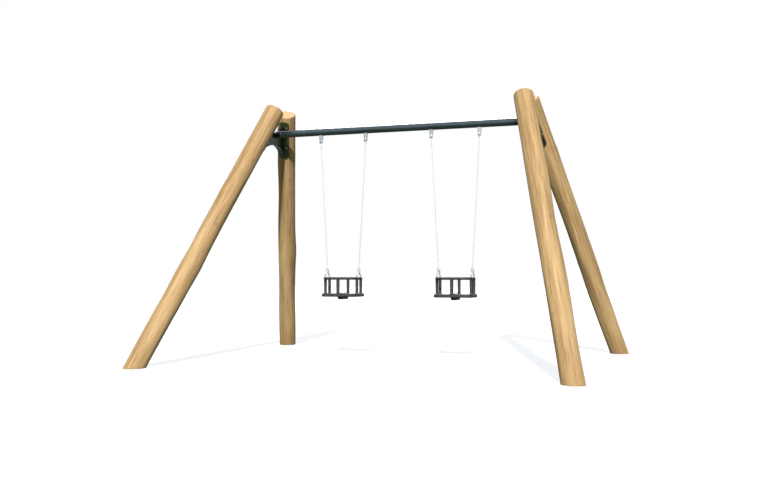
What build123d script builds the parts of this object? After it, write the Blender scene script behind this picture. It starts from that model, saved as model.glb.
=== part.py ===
"""Timber-legged swing set with two cradle seats, built as an assembly of named parts.

Millimetres, +Z up, X along the crossbar, -Y the front.  The origin is on the ground,
midway between the four legs.  Everything symmetric is built once, on the right (+X)
or rear (+Y) side, and mirrored.
"""
import math
import os

from build123d import *

os.makedirs("parts", exist_ok=True)

# --- Log legs -----------------------------------------------------------------
LOG_TOP_X = 1348.0        # log axis at its square-cut top end
LOG_TOP_Y = 141.0
LOG_TOP_Z = 2640.0
LOG_FOOT_X = 2052.0       # log axis at ground level
LOG_FOOT_Y = 1662.0
LOG_TOP_RADIUS = 99.6
LOG_FOOT_RADIUS = 97.6
LOG_TOP_CHAMFER = 8.0
LOG_UNDERCUT = 200.0      # extra log below ground, cut off level with the ground
GROUND_BLOCK = 800.0      # side of the block that cuts a log off at the ground

# --- Crossbar: 76.1 x 4 steel tube ---------------------------------------------
BAR_Z = 2400.0
BAR_RADIUS = 38.05
BAR_WALL = 4.0
BAR_END_GAP = 1.0         # between the mitred bar end and the end plate
BAR_OVERRUN = 60.0        # bar and spigot run past the end plate before they are mitred
MITRE_BLOCK = 400.0       # width and height of the block that mitres them
MITRE_DEPTH = 300.0

# --- End brackets ----------------------------------------------------------------
PLATE_HALF_THICKNESS = 6.0
PLATE_TOP = 20.0          # plate's upper edge above the bar axis
PLATE_BOTTOM = -330.0     # blank's lower edge, removed by the arch and the logs
PLATE_INTO_LOG = 60.0     # blank's side edges run this far from the log axes
ARCH_CROWN = -112.0       # lowest edge of the bracket under the bar
ARCH_RADIUS = 430.0
FLANGE_THICKNESS = 8.0
FLANGE_WIDTH = 60.0
FLANGE_BLANK_SHARE = 1.6  # blank's width, against its half span between the logs
FLANGE_BLANK_RISE = 40.0  # blank's height above half the arch's radius
LOG_CLEARANCE_LENGTH = 1000.0
SADDLE_BLANK_LENGTH = 800.0
SADDLE_INNER_RADIUS = 100.0
SADDLE_OUTER_RADIUS = 108.0
SADDLE_TOP = 233.0        # along the log, from the crossbar's level
SADDLE_BOTTOM = -205.0
SADDLE_INWARD = 73.0      # half widths across the log, inward and outward
SADDLE_OUTWARD = 33.0
SADDLE_CORNER = 38.0

SPIGOT_RADIUS = 33.75     # slides inside the crossbar
SPIGOT_WALL = 6.0
SPIGOT_INNER_END_X = 1262.0
SPIGOT_BOLT_X = 1330.0
BOLT_RADIUS = 6.0
BOLT_HOLE_RADIUS = 6.5
BOLT_HEAD_RADIUS = 10.4   # across the corners
BOLT_HEAD_HEIGHT = 7.5
BOLT_NUT_HEIGHT = 10.0
BOLT_TAIL = 5.0
BORE_HALF = 100.0         # half length of the cutter across the crossbar

SCREW_RADIUS = 5.9
SCREW_HOLE_RADIUS = 6.0
SCREW_LENGTH = 90.0       # below the head
SCREW_HOLE_EXTRA = 2.0    # hole beyond the screw's tip
BORE_OVERRUN = 20.0       # a bore's cutter stands this far out of the surface
SCREW_WASHER_RADIUS = 12.0
SCREW_WASHER_HEIGHT = 2.5
SCREW_HEAD_HEIGHT = 8.0
SCREW_HEAD_RADIUS = 10.4
SCREW_ANGLES = (-28.0, 11.5)     # degrees round the log, negative is inward
SCREW_LEVELS = (165.0, -70.0)     # along the log, from the crossbar's level

# --- Chain: 6 mm short link -----------------------------------------------------
LINK_BAR_RADIUS = 3.0
LINK_BEND_RADIUS = 7.2    # centre line of the bent end
LINK_PITCH = 18.5
LINK_PLAY = 0.2           # gap left between linked bars
LINK_LENGTH = LINK_PITCH + 2 * LINK_BAR_RADIUS + LINK_PLAY   # between end centre lines
MAIN_CHAIN_LINKS = 72
SEAT_CHAIN_LINKS = 4

# --- Cradle seats ---------------------------------------------------------------
SWING_X = 614.0           # centre of each seat
HANGER_OFFSET = 254.5     # hangers either side of the seat's centre
RAIL_TOP_Z = 853.0
RAIL_RADIUS = 13.5
RAIL_X = 356.0            # centre-line size of the rail
RAIL_Y = 280.0
RAIL_CORNER = 85.0
BASE_X = 408.0
BASE_Y = 320.0
BASE_CORNER = 85.0
BASE_BOTTOM_Z = 648.0
BASE_TOP_Z = 682.0
BASE_EDGE_ROUND = 9.0
SIDE_POST_X = 178.0       # the shackles hang over the side posts
SIDE_POST_Y = 55.0
SIDE_POST_RADIUS = 15.0
CENTRE_POST_Y = 140.0
FRONT_POST_RADIUS = 17.0
REAR_POST_RADIUS = 15.0
SPINE_WIDTH = 44.0
SPINE_TOP_Z = 688.0
SPINE_BOTTOM_Z = 621.0
SPINE_TOP_Y = 118.0
SPINE_SHOULDER_Y = 104.0
SPINE_KEEL_Y = 82.0

EYE_RADIUS = 8.6          # centre line of the eye bolt's ring
EYE_BAR_RADIUS = 3.0
EYE_RISE = 16.5           # ring's centre above the rail
EYE_STEM_RADIUS = 5.0
EYE_STEM_DEPTH = 65.0     # below the rail's top
EYE_COLLAR_RADIUS = 8.5
EYE_COLLAR_HEIGHT = 5.0
EYE_COLLAR_OVERLAP = 1.0  # collar reaches into the ring

BASE_SCREW_RADIUS = 4.0
BASE_SCREW_HEAD_RADIUS = 7.0
BASE_SCREW_HEAD_HEIGHT = 5.0
BASE_SCREW_RISE = 35.0    # into the post
COUNTERBORE_RADIUS = 8.0
COUNTERBORE_DEPTH = 7.0
FIT_GAP = 0.1             # radial gap of a screw or stem in its hole
STEM_HOLE_EXTRA = 1.0     # hole beyond a stem's or screw's tip
STEM_BORE_RISE = 50.0     # stem bore's cutter, either side of the rail's centre

# --- Shackles between the main chains and the seat chains -----------------------
SHACKLE_BAR_RADIUS = 3.0
SHACKLE_BEND_RADIUS = 12.0
SHACKLE_HEIGHT = 25.0     # bow's top centre line above the pin
SHACKLE_EAR_RADIUS = 7.0
SHACKLE_EAR_HALF = 3.6    # half thickness
SHACKLE_PIN_RADIUS = 3.5
SHACKLE_PIN_HALF = 19.0
SHACKLE_HEAD_RADIUS = 6.5
SHACKLE_HEAD_HEIGHT = 3.0
PIN_FIT_GAP = 0.05
SEAT_CHAIN_SPREAD = 4.6   # the two seat chains sit this far either side on the pin

# --- Hangers --------------------------------------------------------------------
HANGER_TOP_HALF = 23.0    # half widths along the bar
HANGER_FOOT_HALF = 15.0
HANGER_TOP_DEPTH = 17.0   # half depths across the bar
HANGER_FOOT_RADIUS = 13.0
HANGER_INTO_BAR = 20.0
HANGER_TAPER_END = 14.0   # above the pivot, where the taper meets the straight foot
HANGER_BLANK_HALF = 60.0  # half depth of the hanger's blank and of its cutters
HANGER_FOOT_SPARE = 1.0   # blank below the rounded foot
SLOT_FOOT_HALF = 9.0
SLOT_TOP_HALF = 12.0
SLOT_HEIGHT = 34.0
SLOT_OVERRUN = 10.0       # slot's cutter below the foot
PIVOT_RADIUS = 5.0
PIVOT_HEAD_RADIUS = 8.0
PIVOT_HEAD_HEIGHT = 3.0
PIVOT_HEAD_ROUND = 1.5
BUSH_RADIUS = 7.0
SWIVEL_RADIUS = 11.0
SWIVEL_HALF = 8.0
SWIVEL_RING_DROP = 15.0
SWIVEL_RING_RADIUS = 7.5
SWIVEL_BAR_RADIUS = 3.5
SWIVEL_CHAIN_DROP = 15.8  # pivot to the centre line of the first link's bar

# --- Derived layout ---------------------------------------------------------------
RAIL_Z = RAIL_TOP_Z - RAIL_RADIUS
EYE_Z = RAIL_TOP_Z + EYE_RISE
LEAN = math.atan2(LOG_FOOT_X - LOG_TOP_X, LOG_TOP_Z)
TOP_TO_BAR = LOG_TOP_Z - BAR_Z
FRAME_X = LOG_TOP_X + TOP_TO_BAR * (LOG_FOOT_X - LOG_TOP_X) / LOG_TOP_Z
LOG_Y_AT_BAR = LOG_TOP_Y + TOP_TO_BAR * (LOG_FOOT_Y - LOG_TOP_Y) / LOG_TOP_Z
LOG_SPLAY = math.atan2(LOG_FOOT_Y - LOG_TOP_Y, LOG_TOP_Z / math.cos(LEAN))

# The plane of the right-hand pair of logs: local x is +Y, local y is up the plane.
FRAME = Plane(origin=(FRAME_X, 0, BAR_Z), x_dir=(0, 1, 0),
              z_dir=(math.cos(LEAN), 0, math.sin(LEAN)))

# The rear right log at the bar's level: local x points at the other log of the pair,
# local y is outward, local z is up along the log.
LOG_LOCAL = (FRAME.location * Pos(LOG_Y_AT_BAR, 0, 0)
             * Rot(Z=90 + math.degrees(LOG_SPLAY)) * Rot(Y=90) * Rot(Z=90))


def stadium_length(links):
    """Length of a taut run of links, between its end centre lines."""
    return (links - 1) * LINK_PITCH + LINK_LENGTH


def write(name, *solids):
    """Write one named part, of one or more separate solids."""
    shape = solids[0] if len(solids) == 1 else Compound(list(solids))
    export_step(shape, f"parts/{name}.step")


def left(shape):
    return mirror(shape, about=Plane.YZ)


def front(shape):
    return mirror(shape, about=Plane.XZ)


def cylinder_x(radius, start, end, y=0.0, z=0.0):
    return Pos((start + end) / 2, y, z) * Rot(Y=90) * Cylinder(radius, end - start)


def cylinder_y(radius, start, end, x=0.0, z=0.0):
    return Pos(x, (start + end) / 2, z) * Rot(X=90) * Cylinder(radius, end - start)


def cylinder_z(radius, start, end, x=0.0, y=0.0):
    return Pos(x, y, (start + end) / 2) * Cylinder(radius, end - start)


def hexagon_prism(radius, height):
    return extrude(RegularPolygon(radius, 6), amount=height)


# --- Legs ---------------------------------------------------------------------
def build_log():
    """Rear right log, cut level with the ground and drilled for its screws."""
    foot = Vector(LOG_FOOT_X, LOG_FOOT_Y, 0)
    top = Vector(LOG_TOP_X, LOG_TOP_Y, LOG_TOP_Z)
    length = (top - foot).length
    growth = (LOG_FOOT_RADIUS - LOG_TOP_RADIUS) / length
    log = Cone(LOG_FOOT_RADIUS + growth * LOG_UNDERCUT, LOG_TOP_RADIUS, length + LOG_UNDERCUT,
               align=(Align.CENTER, Align.CENTER, Align.MIN))
    log = chamfer(log.edges().sort_by(Axis.Z)[-1], LOG_TOP_CHAMFER)
    log = Plane(origin=foot, z_dir=top - foot).location * Pos(0, 0, -LOG_UNDERCUT) * log
    ground = Pos(LOG_FOOT_X, LOG_FOOT_Y, -LOG_UNDERCUT) * Box(GROUND_BLOCK, GROUND_BLOCK,
                                                        2 * LOG_UNDERCUT)
    log -= ground
    for place in screw_places():
        log -= place * cylinder_z(SCREW_HOLE_RADIUS, -SCREW_LENGTH - SCREW_HOLE_EXTRA,
                                  BORE_OVERRUN)
    return log


def screw_places():
    """Where each screw's head sits on the rear right saddle, local z out of the log."""
    places = []
    for level in SCREW_LEVELS:
        for angle in SCREW_ANGLES:
            places.append(LOG_LOCAL * Rot(Z=angle) * Pos(SADDLE_OUTER_RADIUS, 0, level)
                          * Rot(Y=90))
    return places


def build_screw():
    shank = cylinder_z(SCREW_RADIUS, -SCREW_LENGTH, 0)
    washer = cylinder_z(SCREW_WASHER_RADIUS, 0, SCREW_WASHER_HEIGHT)
    head = Pos(0, 0, SCREW_WASHER_HEIGHT) * hexagon_prism(SCREW_HEAD_RADIUS, SCREW_HEAD_HEIGHT)
    return shank + washer + head


def log_clearance(radius):
    """Cylinders round both logs of the right-hand pair."""
    rear = LOG_LOCAL * Cylinder(radius, LOG_CLEARANCE_LENGTH)
    return rear + front(rear)


def build_saddle():
    """Curved plate on the rear right log, seated on its inner side."""
    height = SADDLE_TOP - SADDLE_BOTTOM
    shell = Cylinder(SADDLE_OUTER_RADIUS, SADDLE_BLANK_LENGTH)
    shell -= Cylinder(SADDLE_INNER_RADIUS, SADDLE_BLANK_LENGTH)
    outline = RectangleRounded(SADDLE_INWARD + SADDLE_OUTWARD, height, SADDLE_CORNER)
    middle_y = (SADDLE_OUTWARD - SADDLE_INWARD) / 2
    middle_z = (SADDLE_TOP + SADDLE_BOTTOM) / 2
    face = Plane(origin=(0, middle_y, middle_z), x_dir=(0, 1, 0), z_dir=(1, 0, 0))
    saddle = LOG_LOCAL * (shell & extrude(face * outline, amount=2 * SADDLE_OUTER_RADIUS))
    for place in screw_places():
        saddle -= place * cylinder_z(BOLT_HOLE_RADIUS, -BORE_OVERRUN, BORE_OVERRUN)
    return saddle


# --- End bracket, right side -----------------------------------------------------
def build_end_plate():
    """Plate in the plane of the logs, arched below and square-cut above the bar."""
    def edge(level):
        return LOG_Y_AT_BAR - level * math.tan(LOG_SPLAY) - PLATE_INTO_LOG

    corners = [(-edge(PLATE_TOP), PLATE_TOP), (edge(PLATE_TOP), PLATE_TOP),
               (edge(PLATE_BOTTOM), PLATE_BOTTOM), (-edge(PLATE_BOTTOM), PLATE_BOTTOM)]
    blank = make_face(Polyline(*corners, close=True))
    arch = Pos(0, ARCH_CROWN - ARCH_RADIUS) * Circle(ARCH_RADIUS + FLANGE_THICKNESS)
    plate = extrude(blank - arch, amount=PLATE_HALF_THICKNESS, both=True)
    return FRAME.location * plate - log_clearance(SADDLE_OUTER_RADIUS)


def build_arch_flange():
    """Strip along the plate's arched edge, ending on the saddles."""
    middle = Pos(0, ARCH_CROWN - ARCH_RADIUS)
    ring = middle * (Circle(ARCH_RADIUS + FLANGE_THICKNESS) - Circle(ARCH_RADIUS))
    reach = LOG_Y_AT_BAR - PLATE_BOTTOM * math.tan(LOG_SPLAY) - PLATE_INTO_LOG
    span = Pos(0, ARCH_CROWN - ARCH_RADIUS / 4) * Rectangle(
        FLANGE_BLANK_SHARE * reach, ARCH_RADIUS / 2 + FLANGE_BLANK_RISE)
    strip = extrude(ring & span, amount=FLANGE_WIDTH / 2, both=True)
    return FRAME.location * strip - log_clearance(SADDLE_OUTER_RADIUS)


def outside_of_plate(gap):
    """Everything beyond the end plate's inner face, less a gap."""
    start = -PLATE_HALF_THICKNESS - gap
    block = Box(MITRE_BLOCK, MITRE_BLOCK, MITRE_DEPTH)
    return FRAME.location * Pos(0, 0, start + MITRE_DEPTH / 2) * block


def build_spigot():
    tube = cylinder_x(SPIGOT_RADIUS, SPIGOT_INNER_END_X, FRAME_X + BAR_OVERRUN, z=BAR_Z)
    tube -= cylinder_x(SPIGOT_RADIUS - SPIGOT_WALL, 0, FRAME_X + 2 * BAR_OVERRUN, z=BAR_Z)
    tube -= outside_of_plate(0)
    return tube - cylinder_y(BOLT_HOLE_RADIUS, -BORE_HALF, BORE_HALF, SPIGOT_BOLT_X, BAR_Z)


def build_crossbar():
    blank_end = FRAME_X + BAR_OVERRUN
    bar = cylinder_x(BAR_RADIUS, -blank_end, blank_end, z=BAR_Z)
    bar -= cylinder_x(BAR_RADIUS - BAR_WALL, -blank_end, blank_end, z=BAR_Z)
    bar -= outside_of_plate(BAR_END_GAP)
    bar -= left(outside_of_plate(BAR_END_GAP))
    for x in (-SPIGOT_BOLT_X, SPIGOT_BOLT_X):
        bar -= cylinder_y(BOLT_HOLE_RADIUS, -BORE_HALF, BORE_HALF, x, BAR_Z)
    return bar


def build_locking_bolt():
    """Bolt through the crossbar and the right-hand spigot, head at the front."""
    tail = BAR_RADIUS + BOLT_NUT_HEIGHT + BOLT_TAIL
    shank = cylinder_y(BOLT_RADIUS, -BAR_RADIUS, tail, SPIGOT_BOLT_X, BAR_Z)
    seat = Pos(SPIGOT_BOLT_X, -BAR_RADIUS, BAR_Z) * Rot(X=90)
    return shank + seat * hexagon_prism(BOLT_HEAD_RADIUS, BOLT_HEAD_HEIGHT)


def build_locking_nut():
    seat = Pos(SPIGOT_BOLT_X, BAR_RADIUS, BAR_Z) * Rot(X=-90)
    nut = seat * hexagon_prism(BOLT_HEAD_RADIUS, BOLT_NUT_HEIGHT)
    return nut - cylinder_y(BOLT_RADIUS, 0, BORE_HALF, SPIGOT_BOLT_X, BAR_Z)


# --- Layout of one hanging side: hanger, chain, shackle, seat chains -------------
def seat_chain_height():
    """Height of the shackle pin over the eye bolts, from the seat chains' length."""
    play = LINK_BAR_RADIUS + LINK_PLAY
    run = stadium_length(SEAT_CHAIN_LINKS)
    reach = run - (SHACKLE_PIN_RADIUS + play) - (play + EYE_BAR_RADIUS - EYE_RADIUS)
    return math.sqrt(reach ** 2 - SIDE_POST_Y ** 2 - SEAT_CHAIN_SPREAD ** 2)


SHACKLE_PIN_Z = EYE_Z + seat_chain_height()
SHACKLE_TOP_Z = SHACKLE_PIN_Z + SHACKLE_HEIGHT
SHACKLE_CHAIN_DROP = SHACKLE_BAR_RADIUS + LINK_BAR_RADIUS + LINK_PLAY
CHAIN_END_Z = SHACKLE_TOP_Z - SHACKLE_CHAIN_DROP
CHAIN_SIDEWAYS = HANGER_OFFSET - SIDE_POST_X
CHAIN_TOP_Z = CHAIN_END_Z + math.sqrt(stadium_length(MAIN_CHAIN_LINKS) ** 2
                                      - CHAIN_SIDEWAYS ** 2)
PIVOT_Z = CHAIN_TOP_Z + SWIVEL_CHAIN_DROP


def round_bar_loop(width, length, bend, radius):
    """Closed loop of round bar in the XZ plane, with four quarter bends."""
    x, z = width / 2 - bend, length / 2 - bend
    loop = None
    for quarter, (cx, cz) in enumerate(((x, z), (-x, z), (-x, -z), (x, -z))):
        turn = Rot(X=90) * Rot(Z=90 * quarter)
        bend_solid = Pos(cx, 0, cz) * turn * Torus(bend, radius, major_angle=90, align=None)
        loop = bend_solid if loop is None else loop + bend_solid
    for side in (-1, 1):
        loop += Pos(side * width / 2, 0, 0) * Cylinder(radius, 2 * z)
        if x > 0:
            loop += Pos(0, 0, side * length / 2) * Rot(Y=90) * Cylinder(radius, 2 * x)
    return loop


def build_link():
    """One chain link about the origin, long along Z and wide along X."""
    width = 2 * LINK_BEND_RADIUS
    return round_bar_loop(width, LINK_LENGTH, LINK_BEND_RADIUS, LINK_BAR_RADIUS)


LINK = build_link()


def chain(start, end, links, first_width):
    """Taut run of links between two end centre lines, alternate links a quarter turned."""
    run = (end - start).normalized()
    across = (first_width - run * first_width.dot(run)).normalized()
    solids = []
    for index in range(links):
        centre = start + run * (LINK_LENGTH / 2 + index * LINK_PITCH)
        width = across if index % 2 == 0 else run.cross(across)
        solids.append(Plane(origin=centre, x_dir=width, z_dir=run).location * LINK)
    return solids


def build_main_chain(side):
    """Chain of the right-hand swing on the outer (+1) or inner (-1) side."""
    start = Vector(SWING_X + side * HANGER_OFFSET, 0, CHAIN_TOP_Z)
    end = Vector(SWING_X + side * SIDE_POST_X, 0, CHAIN_END_Z)
    return chain(start, end, MAIN_CHAIN_LINKS, Vector(1, 0, 0))


def build_seat_chain(side, rear):
    """Short chain from the shackle pin to the front (-1) or rear (+1) eye bolt."""
    pin = Vector(SWING_X + side * SIDE_POST_X + rear * SEAT_CHAIN_SPREAD, 0, SHACKLE_PIN_Z)
    eye = Vector(SWING_X + side * SIDE_POST_X, rear * SIDE_POST_Y, EYE_Z)
    run = (eye - pin).normalized()
    start = pin - run * (SHACKLE_PIN_RADIUS + LINK_BAR_RADIUS + LINK_PLAY)
    end = start + run * stadium_length(SEAT_CHAIN_LINKS)
    return chain(start, end, SEAT_CHAIN_LINKS, Vector(0, 1, 0))


def build_hanger(x):
    """Tapered fork welded under the bar, open below for the swivel eye."""
    top = BAR_Z - HANGER_INTO_BAR
    taper = PIVOT_Z + HANGER_TAPER_END
    foot = PIVOT_Z - HANGER_FOOT_RADIUS - HANGER_FOOT_SPARE
    outline = [(-HANGER_TOP_HALF, top), (HANGER_TOP_HALF, top), (HANGER_FOOT_HALF, taper),
               (HANGER_FOOT_HALF, foot), (-HANGER_FOOT_HALF, foot), (-HANGER_FOOT_HALF, taper)]
    fork = extrude(Plane.XZ * make_face(Polyline(*outline, close=True)),
                   amount=HANGER_BLANK_HALF, both=True)
    side_outline = [(-HANGER_TOP_DEPTH, top), (HANGER_TOP_DEPTH, top),
                    (HANGER_FOOT_RADIUS, PIVOT_Z), (-HANGER_FOOT_RADIUS, PIVOT_Z)]
    side = extrude(Plane.YZ * make_face(Polyline(*side_outline, close=True)),
                   amount=HANGER_BLANK_HALF, both=True)
    side += cylinder_x(HANGER_FOOT_RADIUS, -HANGER_BLANK_HALF, HANGER_BLANK_HALF, z=PIVOT_Z)
    fork = fork & side
    roof = PIVOT_Z + SLOT_HEIGHT
    mouth = foot - SLOT_OVERRUN
    slot = [(-SLOT_TOP_HALF, roof), (SLOT_TOP_HALF, roof), (SLOT_FOOT_HALF, taper),
            (SLOT_FOOT_HALF, mouth), (-SLOT_FOOT_HALF, mouth), (-SLOT_FOOT_HALF, taper)]
    fork -= extrude(Plane.XZ * make_face(Polyline(*slot, close=True)),
                    amount=HANGER_BLANK_HALF, both=True)
    fork -= cylinder_x(BAR_RADIUS, -HANGER_BLANK_HALF, HANGER_BLANK_HALF, z=BAR_Z)
    fork -= cylinder_x(PIVOT_RADIUS + PIN_FIT_GAP, -HANGER_BLANK_HALF, HANGER_BLANK_HALF,
                       z=PIVOT_Z)
    return Pos(x, 0, 0) * fork


def build_pivot_pin(x):
    pin = cylinder_x(PIVOT_RADIUS, -HANGER_FOOT_HALF, HANGER_FOOT_HALF, z=PIVOT_Z)
    for side in (-1, 1):
        middle = side * (HANGER_FOOT_HALF + PIVOT_HEAD_HEIGHT / 2)
        half = PIVOT_HEAD_HEIGHT / 2
        head = cylinder_x(PIVOT_HEAD_RADIUS, middle - half, middle + half, z=PIVOT_Z)
        outer_edge = head.edges().sort_by(Axis.X)[-1 if side > 0 else 0]
        pin += fillet(outer_edge, PIVOT_HEAD_ROUND)
    return Pos(x, 0, 0) * pin


def build_swivel_eye(x):
    """Barrel on the pivot pin with a ring below for the chain."""
    barrel = cylinder_x(SWIVEL_RADIUS, -SWIVEL_HALF, SWIVEL_HALF, z=PIVOT_Z)
    ring = Pos(0, 0, PIVOT_Z - SWIVEL_RING_DROP) * Rot(Y=90) * Torus(SWIVEL_RING_RADIUS,
                                                                    SWIVEL_BAR_RADIUS)
    eye = barrel + ring
    eye -= cylinder_x(BUSH_RADIUS, -BORE_OVERRUN, BORE_OVERRUN, z=PIVOT_Z)
    return Pos(x, 0, 0) * eye


def build_bush(x):
    bush = cylinder_x(BUSH_RADIUS, -SWIVEL_HALF, SWIVEL_HALF, z=PIVOT_Z)
    bush -= cylinder_x(PIVOT_RADIUS + PIN_FIT_GAP, -BORE_OVERRUN, BORE_OVERRUN, z=PIVOT_Z)
    return Pos(x, 0, 0) * bush


def build_shackle_bow(x):
    """Bow through the last chain link, with an ear for the pin on each leg."""
    shoulder = SHACKLE_TOP_Z - SHACKLE_BEND_RADIUS
    arch = Torus(SHACKLE_BEND_RADIUS, SHACKLE_BAR_RADIUS, major_angle=180, align=None)
    bow = Pos(0, 0, shoulder) * Rot(X=90) * arch
    for side in (-1, 1):
        leg = side * SHACKLE_BEND_RADIUS
        bow += cylinder_z(SHACKLE_BAR_RADIUS, SHACKLE_PIN_Z, shoulder, x=leg)
        bow += cylinder_x(SHACKLE_EAR_RADIUS, leg - SHACKLE_EAR_HALF,
                          leg + SHACKLE_EAR_HALF, z=SHACKLE_PIN_Z)
    bow -= cylinder_x(SHACKLE_PIN_RADIUS + PIN_FIT_GAP, -BORE_OVERRUN, BORE_OVERRUN,
                      z=SHACKLE_PIN_Z)
    return Pos(x, 0, 0) * bow


def build_shackle_pin(x):
    ear_face = SHACKLE_BEND_RADIUS + SHACKLE_EAR_HALF
    pin = cylinder_x(SHACKLE_PIN_RADIUS, -ear_face, SHACKLE_PIN_HALF, z=SHACKLE_PIN_Z)
    pin += cylinder_x(SHACKLE_HEAD_RADIUS, -ear_face - SHACKLE_HEAD_HEIGHT, -ear_face,
                      z=SHACKLE_PIN_Z)
    return Pos(x, 0, 0) * pin


# --- Cradle seat about x = 0 --------------------------------------------------
SIDE_POSTS = [(x, y) for x in (-SIDE_POST_X, SIDE_POST_X) for y in (-SIDE_POST_Y, SIDE_POST_Y)]
CENTRE_POSTS = [(0, -CENTRE_POST_Y), (0, CENTRE_POST_Y)]


def build_rail():
    loop = round_bar_loop(RAIL_X, RAIL_Y, RAIL_CORNER, RAIL_RADIUS)
    return Pos(0, 0, RAIL_Z) * Rot(X=90) * loop


RAIL = build_rail()


def build_drilled_rail():
    rail = RAIL
    for x, y in SIDE_POSTS:
        rail -= cylinder_z(EYE_STEM_RADIUS + FIT_GAP, RAIL_Z - STEM_BORE_RISE,
                           RAIL_Z + STEM_BORE_RISE, x, y)
    return rail


def build_post(x, y, radius):
    """Post from the base up to the rail, shaped to the rail's underside."""
    post = cylinder_z(radius, BASE_TOP_Z, RAIL_Z, x, y) - RAIL
    post -= cylinder_z(BASE_SCREW_RADIUS + FIT_GAP, 0, BASE_TOP_Z + BASE_SCREW_RISE, x, y)
    if (x, y) in SIDE_POSTS:
        bottom = RAIL_TOP_Z - EYE_STEM_DEPTH - STEM_HOLE_EXTRA
        post -= cylinder_z(EYE_STEM_RADIUS + FIT_GAP, bottom, RAIL_Z + STEM_BORE_RISE, x, y)
    return post


def build_eye_bolt(x, y):
    ring = Pos(x, y, EYE_Z) * Rot(Y=90) * Torus(EYE_RADIUS, EYE_BAR_RADIUS)
    collar_top = RAIL_TOP_Z + EYE_COLLAR_HEIGHT + EYE_COLLAR_OVERLAP
    collar = cylinder_z(EYE_COLLAR_RADIUS, RAIL_TOP_Z, collar_top, x, y)
    stem = cylinder_z(EYE_STEM_RADIUS, RAIL_TOP_Z - EYE_STEM_DEPTH, RAIL_TOP_Z, x, y)
    return ring + collar + stem


def build_spine():
    """Centre block through the base, with a keel below it."""
    half = [(SPINE_TOP_Y, SPINE_TOP_Z), (SPINE_TOP_Y, BASE_BOTTOM_Z),
            (SPINE_SHOULDER_Y, BASE_BOTTOM_Z), (SPINE_KEEL_Y, SPINE_BOTTOM_Z)]
    outline = half + [(-y, z) for y, z in reversed(half)]
    face = Plane.YZ * make_face(Polyline(*outline, close=True))
    return extrude(face, amount=SPINE_WIDTH / 2, both=True)


def build_base():
    base = extrude(RectangleRounded(BASE_X, BASE_Y, BASE_CORNER), amount=BASE_TOP_Z - BASE_BOTTOM_Z)
    rims = base.edges().group_by(Axis.Z)[-1] + base.edges().group_by(Axis.Z)[0]
    base = Pos(0, 0, BASE_BOTTOM_Z) * fillet(rims, BASE_EDGE_ROUND)
    base -= build_spine()
    for x, y in SIDE_POSTS + CENTRE_POSTS:
        base -= cylinder_z(BASE_SCREW_RADIUS + FIT_GAP, 0, RAIL_Z, x, y)
        base -= cylinder_z(COUNTERBORE_RADIUS, 0, BASE_BOTTOM_Z + COUNTERBORE_DEPTH, x, y)
    return base


def build_base_screw(x, y):
    seat = BASE_BOTTOM_Z + COUNTERBORE_DEPTH
    head = cylinder_z(BASE_SCREW_HEAD_RADIUS, seat - BASE_SCREW_HEAD_HEIGHT, seat, x, y)
    tip = BASE_TOP_Z + BASE_SCREW_RISE - STEM_HOLE_EXTRA
    return head + cylinder_z(BASE_SCREW_RADIUS, seat, tip, x, y)


# --- Write the fixed frame ----------------------------------------------------
CORNERS = {
    "rear_right": lambda shape: shape,
    "front_right": front,
    "rear_left": left,
    "front_left": lambda shape: front(left(shape)),
}
log = build_log()
saddle = build_saddle()
screw = build_screw()
screws = [place * screw for place in screw_places()]
for corner, to_corner in CORNERS.items():
    write(f"leg_{corner}", to_corner(log))
    write(f"saddle_{corner}", to_corner(saddle))
    write(f"coach_screws_{corner}", *[to_corner(one) for one in screws])

write("crossbar", build_crossbar())
for hand, to_hand in (("right", lambda shape: shape), ("left", left)):
    write(f"end_plate_{hand}", to_hand(build_end_plate()))
    write(f"arch_flange_{hand}", to_hand(build_arch_flange()))
    write(f"spigot_{hand}", to_hand(build_spigot()))
write("locking_bolts", build_locking_bolt(), left(build_locking_bolt()))
write("locking_nuts", build_locking_nut(), left(build_locking_nut()))

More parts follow.
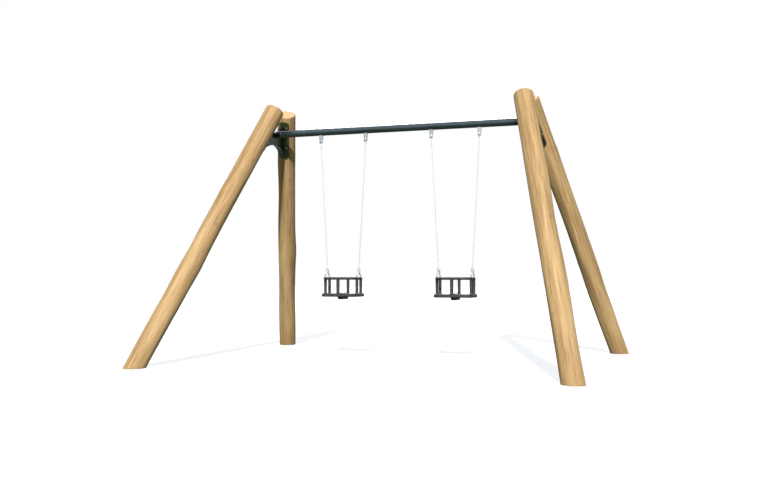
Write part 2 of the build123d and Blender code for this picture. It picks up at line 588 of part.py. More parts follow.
# --- Write both swings --------------------------------------------------------
HANGER_XS = {"outer": SWING_X + HANGER_OFFSET, "inner": SWING_X - HANGER_OFFSET}
SHACKLE_XS = (SWING_X - SIDE_POST_X, SWING_X + SIDE_POST_X)
main_chains = {"outer": build_main_chain(1), "inner": build_main_chain(-1)}
seat_chains = [link for side in (-1, 1) for rear in (-1, 1)
               for link in build_seat_chain(side, rear)]
seat = Pos(SWING_X, 0, 0)
for hand, to_hand in (("right", lambda shape: shape), ("left", left)):
    for place, x in HANGER_XS.items():
        write(f"hanger_{hand}_{place}", to_hand(build_hanger(x)))
        write(f"chain_{hand}_{place}", *[to_hand(one) for one in main_chains[place]])
    write(f"pivot_pins_{hand}", *[to_hand(build_pivot_pin(x)) for x in HANGER_XS.values()])
    write(f"swivel_eyes_{hand}", *[to_hand(build_swivel_eye(x)) for x in HANGER_XS.values()])
    write(f"swivel_bushes_{hand}", *[to_hand(build_bush(x)) for x in HANGER_XS.values()])
    write(f"shackle_bows_{hand}", *[to_hand(build_shackle_bow(x)) for x in SHACKLE_XS])
    write(f"shackle_pins_{hand}", *[to_hand(build_shackle_pin(x)) for x in SHACKLE_XS])
    write(f"seat_chains_{hand}", *[to_hand(one) for one in seat_chains])
    write(f"eye_bolts_{hand}", *[to_hand(seat * build_eye_bolt(x, y)) for x, y in SIDE_POSTS])
    write(f"seat_rail_{hand}", to_hand(seat * build_drilled_rail()))
    write(f"side_posts_{hand}", *[to_hand(seat * build_post(x, y, SIDE_POST_RADIUS))
                                  for x, y in SIDE_POSTS])
    write(f"front_post_{hand}", to_hand(seat * build_post(0, -CENTRE_POST_Y, FRONT_POST_RADIUS)))
    write(f"rear_post_{hand}", to_hand(seat * build_post(0, CENTRE_POST_Y, REAR_POST_RADIUS)))
    write(f"seat_base_{hand}", to_hand(seat * build_base()))
    write(f"seat_spine_{hand}", to_hand(seat * build_spine()))
    write(f"base_screws_{hand}", *[to_hand(seat * build_base_screw(x, y))
                                   for x, y in SIDE_POSTS + CENTRE_POSTS])
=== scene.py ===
"""Looks of the swing set: peeled-log legs, painted and galvanised steel, moulded rubber seats."""
import math

import bpy
import numpy as np
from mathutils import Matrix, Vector


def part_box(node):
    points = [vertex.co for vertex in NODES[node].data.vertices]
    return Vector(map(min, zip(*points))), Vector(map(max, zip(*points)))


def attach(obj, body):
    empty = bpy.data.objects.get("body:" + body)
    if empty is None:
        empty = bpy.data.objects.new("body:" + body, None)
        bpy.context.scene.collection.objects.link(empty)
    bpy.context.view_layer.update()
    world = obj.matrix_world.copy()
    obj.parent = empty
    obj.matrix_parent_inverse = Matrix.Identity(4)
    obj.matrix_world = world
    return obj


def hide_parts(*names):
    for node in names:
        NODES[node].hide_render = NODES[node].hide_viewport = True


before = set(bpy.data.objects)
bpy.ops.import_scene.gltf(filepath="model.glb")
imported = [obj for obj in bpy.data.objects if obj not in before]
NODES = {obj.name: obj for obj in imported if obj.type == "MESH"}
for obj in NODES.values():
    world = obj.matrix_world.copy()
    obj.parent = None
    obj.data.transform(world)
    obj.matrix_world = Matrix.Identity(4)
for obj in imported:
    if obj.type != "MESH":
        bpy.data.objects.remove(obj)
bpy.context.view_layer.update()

# --- Log legs -------------------------------------------------------------------
LOG_AROUND = 192          # vertices round a log
LOG_ALONG = 380           # rings up its side
LOG_ARRIS = 0.009         # rounding of the sawn top edge
ARRIS_RINGS = 5
CAP_RINGS = 16
SOLE_SHARES = np.linspace(0.8, 0.2, 4)    # rings across the foot, outside to inside
FIRST_SEED = 40           # each log draws its own features, from its own seed
RANDOM_TURN = 6.28        # close to a full turn, for random bearings and phases
WAVES = 10                # gentle waviness all over
WAVE_SIZE = (0.0006, 0.0017)
BULGES = 5                # broad swells and hollows of each log
BULGE_SIZE = 0.008        # the most that one stands out or in
BEND_WIDTH = 0.16         # how far up and down the log one bulge spreads
FIBRES = 26               # sets of fine ridges along the grain
GRAIN_RELIEF = 0.00035
KNOTS = 6
KNOT_SIZE = (0.011, 0.021)
KNOT_SWELL = 0.0028
KNOT_SPREAD = 1.9         # the swelling reaches this many knot sizes out
KNOT_LENGTHENING = 0.75   # knots are a little longer than wide
CHECKS = 9                # long drying cracks
TOP_CHECKS = 3            # cracks that run out through the sawn top
CHECK_DEPTH = 0.006
CHECK_HALF_WIDTH = 0.0022
END_CHECK_DEPTH = 0.004   # depth of those cracks on the sawn face
SADDLE_MARGIN = 0.02      # the log is held near its CAD radius this far beyond a saddle
SADDLE_EASE = 0.10        # and returns to its own shape over this length
SADDLE_HOLLOWS = 0.15     # share of each hollow that is kept under a saddle
SADDLE_GAP = 0.0004
TIMBER_SHEEN = 0.22       # bare wood hardly mirrors the sky
RING_SPACING = 0.0042     # growth rings on the sawn ends

# --- Reading the CAD legs ---------------------------------------------------------
GROUND_BAND = 1e-4        # points this low are on the ground
RIM_BAND = 0.0015         # points this close to the far end are on the rim
AXIS_PASSES = 8           # the axis settles as rim and direction correct each other
FOOT_BAND = 0.12
FOOT_TRIM = 0.999         # keeps the foot just inside the CAD leg
TOP_BAND = 0.05

# --- Rubber posts ----------------------------------------------------------------
POST_AROUND = 40
POST_FLARE = 0.0045       # how far a moulded root spreads where it meets rail or base
POST_FLARE_HEIGHT = 0.016
POST_SEAM = 0.0006        # moulding line up each side
SEAM_WIDTH = 0.10
ROOT_RINGS = 9
ROOT_CROWDING = 1.6       # rings gather toward the flared ends
SHAFT_RINGS = 12
SHAFT_SPAN = (0.16, 0.84)
OUTER_COLUMN = 0.06       # a side post lies within this distance of its group's edge

# --- Eased edges on the plain CAD nodes: width and segments --------------------------
EASED = {"seat_spine": (0.007, 5), "end_plate": (0.0012, 2), "arch_flange": (0.0010, 2)}
EASED_ANGLE = math.radians(40)

# --- Camera and light --------------------------------------------------------------
LENS = 45.56
SENSOR_WIDTH = 36.0
LENS_SHIFT = -0.0008      # sideways, as a share of the frame's width
CAMERA_PLACE = (3.2827, -9.5019, 0.8729)
CAMERA_TURN = (math.pi / 2 + 0.0362, 0.0, 0.3465)
SUN_TRAVEL = (-0.28, 1.0, -0.58)
SUN_STRENGTH = 4.2
SUN_SPREAD = 1.5          # degrees across
SUN_COLOUR = (1.0, 0.96, 0.90)
REAR_TRAVEL = (0.3, -1.0, -0.55)
REAR_STRENGTH = 2.4
REAR_SPREAD = 20.0
REAR_COLOUR = (0.94, 0.97, 1.0)
FILL_STRENGTH = 0.11
FILL_COLOUR = (0.72, 0.87, 1.0)
MIRRORED_STRENGTH = 1.4
MIRRORED_COLOUR = (0.78, 0.88, 1.0)
BACKDROP_COLOUR = (1.0, 1.0, 1.0)
FLOOR_HALF = 60
FLOOR_DROP = 0.0005       # keeps the floor from meeting the feet
FLOOR_WHITE = 0.55
FLOOR_GLOW = 0.50
FLOOR_BOUNCE = (0.10, 0.12, 0.07)


def link(mesh, name, material):
    piece = bpy.data.objects.new(name, mesh)
    bpy.context.scene.collection.objects.link(piece)
    mesh.materials.append(material)
    return piece


def smooth(mesh):
    mesh.polygons.foreach_set("use_smooth", np.ones(len(mesh.polygons), bool))


# --- Node materials ----------------------------------------------------------------
class Finish:
    """One node material, built up from a Principled shader."""

    def __init__(self, name, place=None):
        self.material = bpy.data.materials.new(name)
        self.material.use_nodes = True
        self.nodes = self.material.node_tree.nodes
        self.links = self.material.node_tree.links
        self.shader = self.nodes["Principled BSDF"]
        if place is None:
            self.place = self.node("ShaderNodeTexCoord").outputs["Object"]
        else:
            source = self.node("ShaderNodeAttribute", attribute_name=place)
            self.place = source.outputs["Vector"]

    def node(self, kind, **settings):
        made = self.nodes.new(kind)
        for key, value in settings.items():
            setattr(made, key, value)
        return made

    def join(self, source, target):
        self.links.new(source, target)

    def stretched(self, x, y, z):
        mapping = self.node("ShaderNodeMapping")
        mapping.inputs["Scale"].default_value = (x, y, z)
        self.join(self.place, mapping.inputs["Vector"])
        return mapping.outputs["Vector"]

    def noise(self, place, scale, detail=6.0, rough=0.55, twist=0.0):
        made = self.node("ShaderNodeTexNoise")
        made.inputs["Scale"].default_value = scale
        made.inputs["Detail"].default_value = detail
        made.inputs["Roughness"].default_value = rough
        made.inputs["Distortion"].default_value = twist
        self.join(place, made.inputs["Vector"])
        return made.outputs["Fac"]

    def cells(self, place, scale, feature="F1", output="Color"):
        made = self.node("ShaderNodeTexVoronoi", feature=feature)
        made.inputs["Scale"].default_value = scale
        self.join(place, made.inputs["Vector"])
        return made.outputs[output]

    def ramp(self, source, *stops):
        made = self.node("ShaderNodeValToRGB")
        steps = made.color_ramp.elements
        while len(steps) < len(stops):
            steps.new(0.5)
        for step, (place, colour) in zip(steps, stops):
            step.position = place
            step.color = (*colour, 1.0)
        self.join(source, made.inputs["Fac"])
        return made.outputs["Color"]

    def grey_ramp(self, source, *stops):
        return self.ramp(source, *[(place, (value,) * 3) for place, value in stops])

    def mix(self, amount, below, above, blend="MIX"):
        made = self.node("ShaderNodeMix", data_type="RGBA", blend_type=blend)
        for value, slot in ((amount, 0), (below, 6), (above, 7)):
            if isinstance(value, (int, float)):
                made.inputs[slot].default_value = value
            elif isinstance(value, tuple):
                made.inputs[slot].default_value = (*value, 1.0)
            else:
                self.join(value, made.inputs[slot])
        return made.outputs[2]

    def bump(self, source, strength, distance, under=None):
        made = self.node("ShaderNodeBump")
        made.inputs["Strength"].default_value = strength
        made.inputs["Distance"].default_value = distance
        self.join(source, made.inputs["Height"])
        if under is not None:
            self.join(under, made.inputs["Normal"])
        return made.outputs["Normal"]

    def attribute(self, name):
        return self.node("ShaderNodeAttribute", attribute_name=name).outputs["Fac"]

    def worn_edges(self, reach, most):
        """1 along sharp edges and 0 on flats and tubes: an eased normal turns only at an edge."""
        eased = self.node("ShaderNodeBevel", samples=6)
        eased.inputs["Radius"].default_value = reach
        plain = self.node("ShaderNodeNewGeometry").outputs["Normal"]
        agree = self.node("ShaderNodeVectorMath", operation="DOT_PRODUCT")
        self.join(eased.outputs["Normal"], agree.inputs[0])
        self.join(plain, agree.inputs[1])
        return self.grey_ramp(agree.outputs["Value"], (0.80, most), (0.97, 0.0))

    def finish(self, colour, rough, normal=None, metal=0.0):
        self.join(colour, self.shader.inputs["Base Color"])
        self.join(rough, self.shader.inputs["Roughness"])
        if normal is not None:
            self.join(normal, self.shader.inputs["Normal"])
        self.shader.inputs["Metallic"].default_value = metal
        return self.material


def timber_side():
    """Peeled, lightly weathered wood: long streaks, fine grain, knots and drying cracks."""
    f = Finish("timber_side", "log_place")
    broad = f.noise(f.stretched(16, 16, 1.1), 1.0, 5.0, 0.6, 0.8)
    streaks = f.noise(f.stretched(75, 75, 2.2), 1.0, 7.0, 0.62, 0.9)
    fibres = f.noise(f.stretched(420, 420, 9), 1.0, 3.0, 0.6)
    base = f.ramp(broad, (0.32, (0.43, 0.265, 0.118)), (0.50, (0.60, 0.40, 0.195)),
                  (0.68, (0.72, 0.50, 0.26)))
    streak_tone = f.grey_ramp(streaks, (0.36, 0.52), (0.50, 0.98), (0.72, 1.10))
    colour = f.mix(0.62, base, streak_tone, "MULTIPLY")
    colour = f.mix(0.18, colour, f.grey_ramp(fibres, (0.35, 0.55), (0.65, 1.1)), "MULTIPLY")
    knot = f.grey_ramp(f.attribute("knot"), (0.0, 0.0), (1.0, 0.5))
    colour = f.mix(knot, colour, (0.26, 0.13, 0.055))
    # painted shade: the drying cracks are darkened to stand in for the shade deep inside them
    colour = f.mix(f.attribute("check"), colour, (0.085, 0.05, 0.024))
    rough = f.grey_ramp(streaks, (0.3, 0.72), (0.7, 0.56))
    normal = f.bump(streaks, 0.35, 0.0012)
    normal = f.bump(fibres, 0.30, 0.0004, normal)
    f.shader.inputs["Specular IOR Level"].default_value = TIMBER_SHEEN
    return f.finish(colour, rough, normal)


def timber_end():
    """Sawn end grain: growth rings about the heart, saw marks and the log's own cracks."""
    f = Finish("timber_end", "log_place")
    flat = f.stretched(1, 1, 0)
    wander = f.node("ShaderNodeVectorMath", operation="ADD")
    drift = f.node("ShaderNodeVectorMath", operation="SCALE")
    drift.inputs["Scale"].default_value = 0.012
    wobble = f.node("ShaderNodeTexNoise")
    wobble.inputs["Scale"].default_value = 9.0
    f.join(flat, wobble.inputs["Vector"])
    f.join(wobble.outputs["Color"], drift.inputs[0])
    f.join(flat, wander.inputs[0])
    f.join(drift.outputs[0], wander.inputs[1])
    length = f.node("ShaderNodeVectorMath", operation="LENGTH")
    f.join(wander.outputs[0], length.inputs[0])
    wave = f.node("ShaderNodeMath", operation="MULTIPLY")
    wave.inputs[1].default_value = 2 * math.pi / RING_SPACING
    f.join(length.outputs["Value"], wave.inputs[0])
    rings = f.node("ShaderNodeMath", operation="SINE")
    f.join(wave.outputs[0], rings.inputs[0])
    ring_tone = f.ramp(rings.outputs[0], (0.0, (0.86, 0.64, 0.36)), (0.75, (0.76, 0.51, 0.245)),
                       (1.0, (0.58, 0.35, 0.145)))
    saw = f.noise(f.stretched(20, 600, 1), 1.0, 2.0)
    colour = f.mix(0.20, ring_tone, f.grey_ramp(saw, (0.35, 0.7), (0.65, 1.05)), "MULTIPLY")
    # painted shade: the cracks on the sawn face are darkened to stand in for the shade inside
    # them
    colour = f.mix(f.attribute("check"), colour, (0.10, 0.06, 0.03))
    normal = f.bump(saw, 0.4, 0.0008)
    return f.finish(colour, f.grey_ramp(saw, (0.3, 0.85), (0.7, 0.72)), normal)


def paint(name, dark, light, gloss):
    """Sprayed coat on steel: slight orange peel, dusty patches, rubbed edges."""
    f = Finish(name)
    patches = f.noise(f.place, 3.5, 5.0)
    peel = f.noise(f.place, 260.0, 2.0)
    dust = f.noise(f.place, 26.0, 8.0, 0.7)
    colour = f.ramp(patches, (0.35, dark), (0.65, light))
    colour = f.mix(f.grey_ramp(dust, (0.60, 0.0), (0.85, 0.10)), colour, (0.09, 0.10, 0.08))
    colour = f.mix(f.worn_edges(0.0015, 0.7), colour, (0.14, 0.15, 0.14))
    rough = f.grey_ramp(dust, (0.35, gloss), (0.75, gloss + 0.12))
    f.shader.inputs["Coat Weight"].default_value = 0.6
    f.shader.inputs["Coat Roughness"].default_value = 0.14
    return f.finish(colour, rough, f.bump(peel, 0.06, 0.0002))


def zinc(name, dark, light, spangle, rough_low, rough_high, metal=0.85):
    """Zinc coat: crystal spangle, dull blooms and a fine grain."""
    f = Finish(name)
    crystals = f.cells(f.place, spangle)
    blooms = f.noise(f.place, 34.0, 7.0, 0.65)
    fine = f.noise(f.place, 900.0, 3.0)
    colour = f.mix(0.55, f.ramp(blooms, (0.32, dark), (0.68, light)),
                   f.grey_ramp(crystals, (0.1, 0.62), (0.9, 1.05)), "MULTIPLY")
    rough = f.mix(0.5, f.grey_ramp(crystals, (0.0, rough_low), (1.0, rough_high)),
                  f.grey_ramp(blooms, (0.35, rough_low), (0.7, rough_high)))
    normal = f.bump(blooms, 0.15, 0.0005)
    return f.finish(colour, rough, f.bump(fine, 0.12, 0.0001, normal), metal)


def rubber():
    """Moulded black rubber: fine mould grain, chalky bloom, scuffs and worn edges."""
    f = Finish("rubber_moulded")
    bloom = f.noise(f.place, 16.0, 7.0, 0.68)
    grain = f.cells(f.place, 900.0, "F1", "Distance")
    scuffs = f.noise(f.stretched(30, 90, 160), 1.0, 6.0, 0.75)
    colour = f.ramp(bloom, (0.36, (0.022, 0.022, 0.019)), (0.70, (0.047, 0.046, 0.039)))
    colour = f.mix(f.grey_ramp(scuffs, (0.64, 0.0), (0.78, 0.35)), colour, (0.11, 0.11, 0.10))
    colour = f.mix(f.worn_edges(0.003, 0.6), colour, (0.085, 0.084, 0.076))
    rough = f.grey_ramp(bloom, (0.3, 0.52), (0.75, 0.74))
    normal = f.bump(scuffs, 0.15, 0.0005)
    return f.finish(colour, rough, f.bump(grain, 0.22, 0.0003, normal))


def bush():
    """Pale nylon bearing sleeve, greyed by wear."""
    f = Finish("bush_nylon")
    wear = f.noise(f.stretched(40, 400, 400), 1.0, 5.0)
    colour = f.ramp(wear, (0.35, (0.30, 0.29, 0.26)), (0.7, (0.62, 0.60, 0.54)))
    return f.finish(colour, f.grey_ramp(wear, (0.3, 0.34), (0.7, 0.55)),
                    f.bump(wear, 0.1, 0.0002))


SIDE = timber_side()
END = timber_end()
RUBBER = rubber()
FINISHES = {
    "timber": SIDE,
    "crossbar": paint("paint_crossbar", (0.012, 0.023, 0.027), (0.022, 0.039, 0.046), 0.20),
    "bracket": paint("paint_bracket", (0.022, 0.034, 0.012), (0.038, 0.056, 0.022), 0.30),
    "galvanised": zinc("zinc_dipped", (0.36, 0.38, 0.40), (0.62, 0.65, 0.68), 160.0, 0.30, 0.52),
    "fixings": zinc("zinc_plated", (0.42, 0.43, 0.43), (0.66, 0.67, 0.68), 420.0, 0.22, 0.40),
    "chain": zinc("zinc_chain", (0.74, 0.76, 0.78), (0.93, 0.95, 0.97), 520.0, 0.34, 0.52, 0.45),
    "shackle": zinc("steel_shackle", (0.34, 0.35, 0.36), (0.58, 0.60, 0.62), 300.0, 0.24, 0.42),
    "bush": bush(),
    "rubber": RUBBER,
}


# --- Log legs ---------------------------------------------------------------------
def points_of(node):
    return np.array([vertex.co[:] for vertex in NODES[node].data.vertices])


def log_axis(node):
    """Centre of the foot and of the sawn top, from the CAD leg."""
    points = points_of(node)
    ground = points[points[:, 2] < GROUND_BAND]
    foot = (ground.min(0) + ground.max(0)) / 2
    low, high = points.min(0), points.max(0)
    inner = low if foot[0] > 0 else high
    top = np.array([inner[0], 0.0, high[2]])
    for _ in range(AXIS_PASSES):
        along = (top - foot) / np.linalg.norm(top - foot)
        reach = points @ along
        rim = points[reach > reach.max() - RIM_BAND]
        top = (rim.min(0) + rim.max(0)) / 2
    return foot, top


def log_radii(node, foot, top):
    """Radius of the CAD leg near the ground and just below the top."""
    along = (top - foot) / np.linalg.norm(top - foot)
    points = points_of(node) - foot
    reach = points @ along
    radius = np.linalg.norm(points - np.outer(reach, along), axis=1)
    length = np.linalg.norm(top - foot)
    low_radius = radius[reach < FOOT_BAND].max() * FOOT_TRIM
    high_radius = radius[reach > length - TOP_BAND].max()
    return low_radius, high_radius


def turn_difference(a, b):
    """Shortest signed turn from bearing b to bearing a."""
    return (a - b + math.pi) % (2 * math.pi) - math.pi


class Log:
    """Surface of one peeled log, as a radius at each bearing and height."""

    def __init__(self, node, seed):
        self.node = node
        self.foot, top = log_axis(node)
        self.length = float(np.linalg.norm(top - self.foot))
        self.along = (top - self.foot) / self.length
        self.low_radius, self.high_radius = log_radii(node, self.foot, top)
        side = np.array([1.0, 0.0, 0.0]) - self.along * self.along[0]
        self.side = side / np.linalg.norm(side)
        self.across = np.cross(self.along, self.side)
        saddle = points_of(node.replace("leg", "saddle")) - self.foot
        reach = saddle @ self.along
        self.clamped = (reach.min() - SADDLE_MARGIN, reach.max() + SADDLE_MARGIN)
        self.random = np.random.default_rng(seed)
        self.place_features()

    def place_features(self):
        """Random waves, grain, knots, cracks and bulges. The order of the draws matters."""
        r = self.random
        self.waves = [(r.integers(1, 4), r.uniform(1.5, 6.0), r.uniform(0, RANDOM_TURN),
                       r.uniform(*WAVE_SIZE)) for _ in range(WAVES)]
        self.fibres = [(r.integers(14, 70), r.uniform(2.0, 14.0), r.uniform(0, RANDOM_TURN))
                       for _ in range(FIBRES)]
        self.knots = [(r.uniform(0, RANDOM_TURN), r.uniform(0.12, 0.96) * self.length,
                       r.uniform(*KNOT_SIZE)) for _ in range(KNOTS)]
        self.cracks = []
        for _ in range(CHECKS):
            start = r.uniform(0.0, 0.75) * self.length
            self.cracks.append((r.uniform(0, RANDOM_TURN), start,
                                start + r.uniform(0.25, 0.9), r.uniform(0.5, 1.0)))
        for _ in range(TOP_CHECKS):
            start = self.length - r.uniform(0.20, 0.45)
            self.cracks.append((r.uniform(0, RANDOM_TURN), start, self.length + 0.2,
                                r.uniform(0.7, 1.0)))
        self.bulges = [(r.uniform(0, RANDOM_TURN), r.uniform(0.05, 0.95) * self.length,
                        r.uniform(-BULGE_SIZE, BULGE_SIZE)) for _ in range(BULGES)]

    def radius(self, bearing, reach):
        """Radius, knot mask and crack mask."""
        share = reach / self.length
        radius = self.low_radius + (self.high_radius - self.low_radius) * share
        swell = np.zeros_like(radius)
        for lobes, pace, phase, size in self.waves:
            swell += size * np.cos(lobes * bearing + pace * reach + phase)
        for turn, height, size in self.bulges:
            facing = np.clip(np.cos(bearing - turn), 0, None)
            swell += size * facing * np.exp(-((reach - height) / BEND_WIDTH) ** 2)
        relief = np.zeros_like(radius)
        for lobes, pace, phase in self.fibres:
            relief += np.cos(lobes * bearing + pace * reach + phase)
        relief *= GRAIN_RELIEF / math.sqrt(len(self.fibres))

        knot = np.zeros_like(radius)
        for turn, height, size in self.knots:
            sideways = turn_difference(bearing, turn) * radius
            away = np.hypot(sideways, (reach - height) * KNOT_LENGTHENING) / size
            swell += KNOT_SWELL * np.exp(-(away / KNOT_SPREAD) ** 2)
            ring = 0.55 + 0.45 * np.cos(away * 9.0)
            knot = np.maximum(knot, np.exp(-away ** 4) * (0.45 + 0.4 * ring))
        check = np.zeros_like(radius)
        for turn, start, end, strength in self.cracks:
            drift = 0.05 * np.sin(3.1 * reach + turn * 5) + 0.012 * np.sin(31 * reach)
            sideways = turn_difference(bearing, turn + drift) * radius
            middle, half = (start + end) / 2, (end - start) / 2
            fade = np.clip(1 - np.abs((reach - middle) / half), 0, 1) ** 0.5
            across = np.exp(-(sideways / CHECK_HALF_WIDTH) ** 2)
            check = np.maximum(check, strength * fade * across)

        low, high = self.clamped
        loose = np.clip(np.maximum(low - reach, reach - high) / SADDLE_EASE, 0, 1)
        loose = loose * loose * (3 - 2 * loose)
        held = np.minimum(swell, 0.0) * SADDLE_HOLLOWS - SADDLE_GAP
        swell = swell * loose + held * (1 - loose)
        return radius + swell + relief - CHECK_DEPTH * check, knot, check

    def place(self, reach, tilt, radius):
        """Points at a reach along the log and a radius out from its axis."""
        return self.foot + np.outer(reach, self.along) + tilt * radius[:, None]

    def rings(self):
        """Rings from the ground up and in to the heart: points, knot mask, crack mask."""
        turns = np.linspace(0, 2 * math.pi, LOG_AROUND, endpoint=False)
        tilt = np.outer(np.cos(turns), self.side) + np.outer(np.sin(turns), self.across)
        ground = -tilt[:, 2] / self.along[2]
        side_end = self.length - LOG_ARRIS
        bare = np.zeros(LOG_AROUND)
        found = []

        start_radius, _, _ = self.radius(turns, bare)
        start = ground * start_radius
        for step in np.linspace(0, 1, LOG_ALONG):
            reach = start + (side_end - start) * step
            radius, knot, check = self.radius(turns, np.clip(reach, 0, None))
            if step == 0:
                reach = ground * radius
            found.append((self.place(reach, tilt, radius), knot, check))

        rim, _, rim_check = self.radius(turns, np.full(LOG_AROUND, side_end))
        for step in range(1, ARRIS_RINGS + 1):
            angle = math.pi / 2 * step / ARRIS_RINGS
            reach = np.full(LOG_AROUND, side_end + LOG_ARRIS * math.sin(angle))
            radius = rim - LOG_ARRIS * (1 - math.cos(angle))
            found.append((self.place(reach, tilt, radius), bare, rim_check))

        face = rim - LOG_ARRIS
        for step in range(1, CAP_RINGS):
            share = 1 - step / CAP_RINGS
            check = rim_check * np.clip((share - 0.15) / 0.5, 0, 1)
            reach = self.length - END_CHECK_DEPTH * check
            found.append((self.place(reach, tilt, face * share), bare, check))
        return found

    def skin(self, ring_count):
        """Faces over the rings, the sole and the two centres, and which of them are sawn."""
        faces, sawn = [], []

        def band(lower, upper, is_sawn):
            for i in range(LOG_AROUND):
                j = (i + 1) % LOG_AROUND
                faces.append((lower + i, lower + j, upper + j, upper + i))
                sawn.append(is_sawn)

        side_rings = LOG_ALONG + ARRIS_RINGS
        for ring in range(ring_count - 1):
            band(ring * LOG_AROUND, (ring + 1) * LOG_AROUND, ring + 1 >= side_rings)
        first_sole = ring_count * LOG_AROUND
        band(first_sole, 0, True)
        for ring in range(len(SOLE_SHARES) - 1):
            outer = first_sole + ring * LOG_AROUND
            band(outer + LOG_AROUND, outer, True)

        last_cap = first_sole - LOG_AROUND
        last_sole = first_sole + (len(SOLE_SHARES) - 1) * LOG_AROUND
        crown = last_sole + LOG_AROUND
        heel = crown + 1
        for i in range(LOG_AROUND):
            j = (i + 1) % LOG_AROUND
            faces.append((last_cap + i, last_cap + j, crown))
            faces.append((last_sole + j, last_sole + i, heel))
            sawn += [True, True]
        return faces, sawn

    def build(self):
        """The log as one closed mesh that replaces its CAD leg."""
        rows, knots, checks = zip(*self.rings())
        sole = [self.foot + (rows[0] - self.foot) * share for share in SOLE_SHARES]
        centres = [[self.foot + self.along * self.length], [self.foot]]
        points = np.concatenate(list(rows) + sole + centres)
        unmarked = np.zeros(len(sole) * LOG_AROUND + len(centres))
        faces, sawn = self.skin(len(rows))

        mesh = bpy.data.meshes.new("log_" + self.node)
        mesh.from_pydata(points.tolist(), [], faces)
        local = (points - self.foot) @ np.array([self.side, self.across, self.along]).T
        place = mesh.attributes.new("log_place", "FLOAT_VECTOR", "POINT")
        place.data.foreach_set("vector", local.astype(np.float32).ravel())
        for name, marks in (("knot", knots), ("check", checks)):
            mask = np.concatenate(list(marks) + [unmarked])
            values = mesh.attributes.new(name, "FLOAT", "POINT")
            values.data.foreach_set("value", mask.astype(np.float32))
        smooth(mesh)
        piece = link(mesh, self.node.replace("leg", "log"), SIDE)
        mesh.materials.append(END)
        mesh.polygons.foreach_set("material_index", np.array(sawn, np.int32))
        mesh.update()
        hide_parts(self.node)
        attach(piece, "frame")


LEGS = sorted(name for name in NODES if name.startswith("leg_"))
for index, leg in enumerate(LEGS):
    Log(leg, FIRST_SEED + index).build()


# --- Moulded rubber posts ------------------------------------------------------------
def post_mesh(centres, radius, low, high):
    """Upright posts that flare into the rail above and the base below."""
    root = np.linspace(0, 1, ROOT_RINGS) ** ROOT_CROWDING * POST_FLARE_HEIGHT
    root_down = np.linspace(1, 0, ROOT_RINGS) ** ROOT_CROWDING * POST_FLARE_HEIGHT
    shaft = np.linspace(*SHAFT_SPAN, SHAFT_RINGS) * (high - low)
    levels = np.concatenate([root, shaft, (high - low) - root_down])
    turns = np.linspace(0, 2 * math.pi, POST_AROUND, endpoint=False)
    seam = POST_SEAM * np.exp(-(np.sin(turns) / SEAM_WIDTH) ** 2)
    points, faces = [], []
    for x, y in centres:
        first = len(points)
        for level in levels:
            near = min(level, high - low - level) / POST_FLARE_HEIGHT
            flare = POST_FLARE * max(0.0, 1 - near) ** 2
            round_out = radius + flare + seam
            points += [(x + r * math.cos(t), y + r * math.sin(t), low + level)
                       for r, t in zip(round_out, turns)]
        rows = len(levels)
        for row in range(rows - 1):
            for i in range(POST_AROUND):
                j = (i + 1) % POST_AROUND
                a, b = first + row * POST_AROUND, first + (row + 1) * POST_AROUND
                faces.append((a + i, a + j, b + j, b + i))
        faces.append(tuple(first + i for i in reversed(range(POST_AROUND))))
        last = first + (rows - 1) * POST_AROUND
        faces.append(tuple(last + i for i in range(POST_AROUND)))
    mesh = bpy.data.meshes.new("posts")
    mesh.from_pydata(points, [], faces)
    smooth(mesh)
    mesh.update()
    return mesh


def single_radius(node):
    """Radius of one side post: half the width of the group's outermost column."""
    points = points_of(node)
    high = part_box(node)[1]
    column = points[(points[:, 0] > high.x - OUTER_COLUMN) & (points[:, 1] > 0)]
    return (column[:, 0].max() - column[:, 0].min()) / 2


def moulded_posts(node, body, four):
    """Replaces one post, or a group of four at the corners of its box."""
    low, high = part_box(node)
    if four:
        radius = single_radius(node)
        centres = [(x, y) for x in (low.x + radius, high.x - radius)
                   for y in (low.y + radius, high.y - radius)]
    else:
        radius = (high.x - low.x) / 2
        centres = [((low.x + high.x) / 2, (low.y + high.y) / 2)]
    piece = link(post_mesh(centres, radius, low.z, high.z), "moulded_" + node, RUBBER)
    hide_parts(node)
    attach(piece, body)


for hand in ("left", "right"):
    moulded_posts("side_posts_" + hand, hand + "_seat", True)
    moulded_posts("front_post_" + hand, hand + "_seat", False)
    moulded_posts("rear_post_" + hand, hand + "_seat", False)

# --- Finish on the CAD nodes, with eased edges on the plain ones -----------------------
for name, node in NODES.items():
    for slot in node.material_slots:
        slot.material = FINISHES[slot.material.name.split(".")[0]]
    for start, (width, segments) in EASED.items():
        if name.startswith(start):
            ease = node.modifiers.new("eased_edges", "BEVEL")
            ease.width = width
            ease.segments = segments
            ease.limit_method = "ANGLE"
            ease.angle_limit = EASED_ANGLE

# --- Floor, light and camera -----------------------------------------------------------
def pale_floor():
    """Nearly white to the camera with faint shadows, and dull to light bouncing off it."""
    f = Finish("floor_pale")
    speckle = f.noise(f.place, 40.0)
    seen_by_camera = f.node("ShaderNodeLightPath").outputs["Is Camera Ray"]
    near_white = f.grey_ramp(speckle, (0.3, FLOOR_WHITE), (0.7, FLOOR_WHITE + 0.02))
    colour = f.mix(seen_by_camera, FLOOR_BOUNCE, near_white)
    glow = f.mix(seen_by_camera, (0.0, 0.0, 0.0), (1.0, 1.0, 1.0))
    f.join(glow, f.shader.inputs["Emission Color"])
    f.shader.inputs["Emission Strength"].default_value = FLOOR_GLOW
    return f.finish(colour, f.grey_ramp(speckle, (0.3, 0.9), (0.7, 0.95)))


floor_mesh = bpy.data.meshes.new("floor")
corners = [(x * FLOOR_HALF, y * FLOOR_HALF, 0) for x, y in ((-1, -1), (1, -1), (1, 1), (-1, 1))]
floor_mesh.from_pydata(corners, [], [(0, 1, 2, 3)])
floor = link(floor_mesh, "floor", pale_floor())
floor.location.z = -FLOOR_DROP

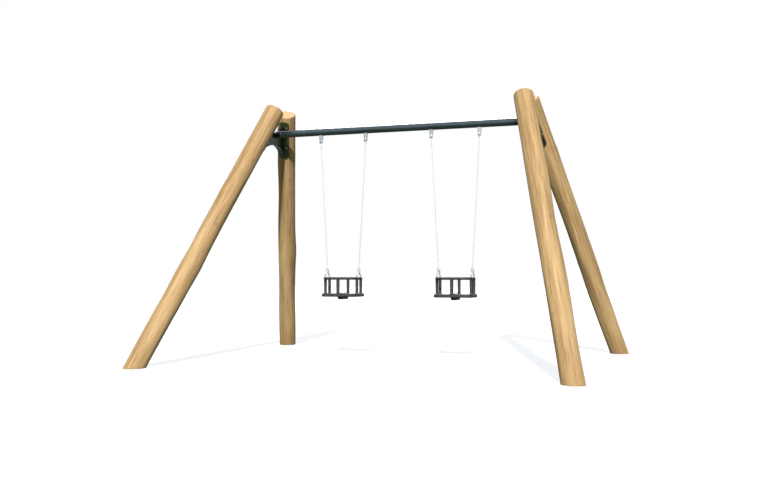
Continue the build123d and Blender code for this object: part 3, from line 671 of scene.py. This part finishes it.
world = bpy.data.worlds.new("studio")
bpy.context.scene.world = world
world.use_nodes = True
sky = world.node_tree.nodes
sky_links = world.node_tree.links
seen = sky.new("ShaderNodeLightPath")
backdrop = sky.new("ShaderNodeBackground")
backdrop.inputs["Color"].default_value = (*BACKDROP_COLOUR, 1.0)
backdrop.inputs["Strength"].default_value = 1.0
fill = sky["Background"]
fill.inputs["Color"].default_value = (*FILL_COLOUR, 1.0)
fill.inputs["Strength"].default_value = FILL_STRENGTH
mirrored = sky.new("ShaderNodeBackground")
mirrored.inputs["Color"].default_value = (*MIRRORED_COLOUR, 1.0)
mirrored.inputs["Strength"].default_value = MIRRORED_STRENGTH
soft_or_mirrored = sky.new("ShaderNodeMixShader")
sky_links.new(seen.outputs["Is Glossy Ray"], soft_or_mirrored.inputs[0])
sky_links.new(fill.outputs[0], soft_or_mirrored.inputs[1])
sky_links.new(mirrored.outputs[0], soft_or_mirrored.inputs[2])
choose = sky.new("ShaderNodeMixShader")
sky_links.new(seen.outputs["Is Camera Ray"], choose.inputs[0])
sky_links.new(soft_or_mirrored.outputs[0], choose.inputs[1])
sky_links.new(backdrop.outputs[0], choose.inputs[2])
sky_links.new(choose.outputs[0], sky["World Output"].inputs["Surface"])


def sun(name, travel, strength, spread, colour):
    light = bpy.data.lights.new(name, "SUN")
    light.energy = strength
    light.angle = math.radians(spread)
    light.color = colour
    placed = bpy.data.objects.new(name, light)
    bpy.context.scene.collection.objects.link(placed)
    placed.rotation_euler = Vector(travel).to_track_quat("-Z", "Y").to_euler()


sun("key", SUN_TRAVEL, SUN_STRENGTH, SUN_SPREAD, SUN_COLOUR)
sun("rear", REAR_TRAVEL, REAR_STRENGTH, REAR_SPREAD, REAR_COLOUR)

camera_data = bpy.data.cameras.new("camera")
camera_data.lens = LENS
camera_data.sensor_width = SENSOR_WIDTH
camera_data.shift_x = LENS_SHIFT
camera = bpy.data.objects.new("camera", camera_data)
camera.location = CAMERA_PLACE
camera.rotation_euler = CAMERA_TURN
bpy.context.scene.collection.objects.link(camera)
bpy.context.scene.camera = camera
bpy.context.scene.view_settings.view_transform = "Standard"

bpy.context.view_layer.update()
